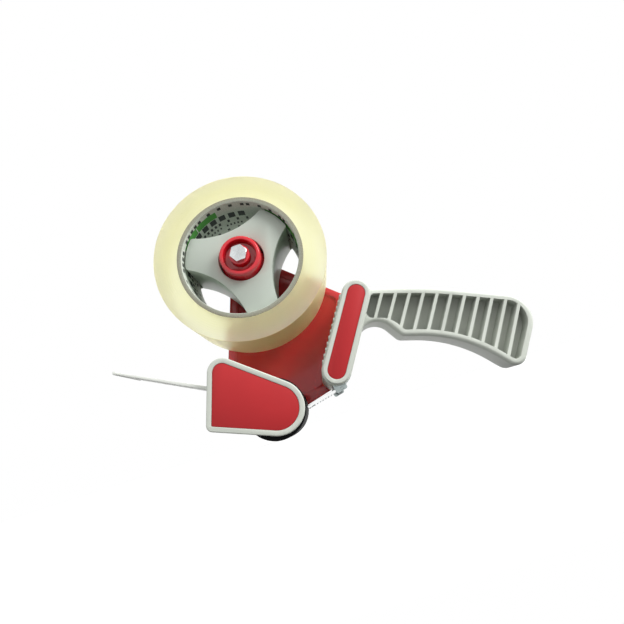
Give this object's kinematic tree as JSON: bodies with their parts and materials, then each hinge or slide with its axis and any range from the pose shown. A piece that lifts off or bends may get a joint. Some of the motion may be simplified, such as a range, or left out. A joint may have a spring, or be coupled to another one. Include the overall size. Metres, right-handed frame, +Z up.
{
  "type": "tape dispenser",
  "caption": "Pistol grip hand dispenser for carton sealing tape: side plate, three-lobed hub with brake knob, rubber roller, guarded cutting blade and a roll of clear tape.",
  "frame": {"origin": "bottom centre of the object's box, where it stands on its roller and the heel of its grip", "axes": "+Z up, +X from the cutting end towards the grip, +Y from the open side towards the side plate"},
  "size_m": [0.266, 0.0684, 0.1749],
  "materials": {
    "tape_film": "gloss",
    "core_card": "matt",
    "red_enamel": "gloss",
    "grey_plastic": "satin",
    "hub_plastic": "satin",
    "red_label": "satin",
    "red_plastic": "gloss",
    "black_rubber": "matt",
    "white_plastic": "satin",
    "wiper_plastic": "satin",
    "brake_felt": "matt",
    "spring_steel": "satin",
    "blade_steel": "satin",
    "zinc_plate": "bright"
  },
  "bodies": {
    "frame": {"side_plate": "red_enamel", "handle": "grey_plastic", "head_cap": "grey_plastic", "head_panel": "red_label", "head_screws": "zinc_plate", "bearing_sleeve": "zinc_plate", "stud_nut": "zinc_plate", "roller_axle": "zinc_plate", "axle_nut": "zinc_plate", "axle_washer": "zinc_plate", "front_cover": "grey_plastic", "front_panel": "red_label", "blade": "blade_steel", "blade_bar": "zinc_plate", "blade_screws": "zinc_plate", "bar_screws": "zinc_plate", "wiper_pin_rod": "zinc_plate", "gate_bracket": "zinc_plate", "gate_pin_rod": "zinc_plate", "bracket_screws": "zinc_plate"},
    "hub": {"hub": "hub_plastic"},
    "tape": {"tape_core": "core_card", "tape_roll": "tape_film"},
    "brake": {"brake_knob": "red_plastic", "brake_bolt": "zinc_plate", "brake_spring": "spring_steel", "pressure_washer": "zinc_plate", "friction_washer": "brake_felt"},
    "roller": {"roller_core": "white_plastic", "roller_tyre": "black_rubber"},
    "wiper": {"wiper_leaf": "wiper_plastic"},
    "gate": {"tape_gate": "zinc_plate"}
  },
  "joints": [
    {"name": "hub_spin", "type": "hinge", "parent": "frame", "child": "hub", "pos_m": [-0.03648, -0.00125, 0.11877], "axis": [0, 1, 0], "continuous": true},
    {"name": "roll_slide", "type": "slide", "parent": "hub", "child": "tape", "axis": [0, -1, 0], "range_m": [0, 0.056]},
    {"name": "brake_turn", "type": "hinge", "parent": "frame", "child": "brake", "pos_m": [-0.03648, -0.00125, 0.11877], "axis": [0, -1, 0], "range_deg": [-180, 180]},
    {"name": "roller_spin", "type": "hinge", "parent": "frame", "child": "roller", "pos_m": [-0.0419, -0.00125, 0.0188], "axis": [0, 1, 0], "continuous": true},
    {"name": "wiper_swing", "type": "hinge", "parent": "frame", "child": "wiper", "pos_m": [-0.06864, -0.00125, 0.0386], "axis": [0, 1, 0], "range_deg": [-15, 25], "stiffness_Nm_per_rad": 0.1, "springref_deg": 1.38},
    {"name": "gate_swing", "type": "hinge", "parent": "frame", "child": "gate", "pos_m": [0.00036, -0.00125, 0.01883], "axis": [0, -1, 0], "range_deg": [0, 25], "stiffness_Nm_per_rad": 0.03, "springref_deg": -11.46}
  ]
}
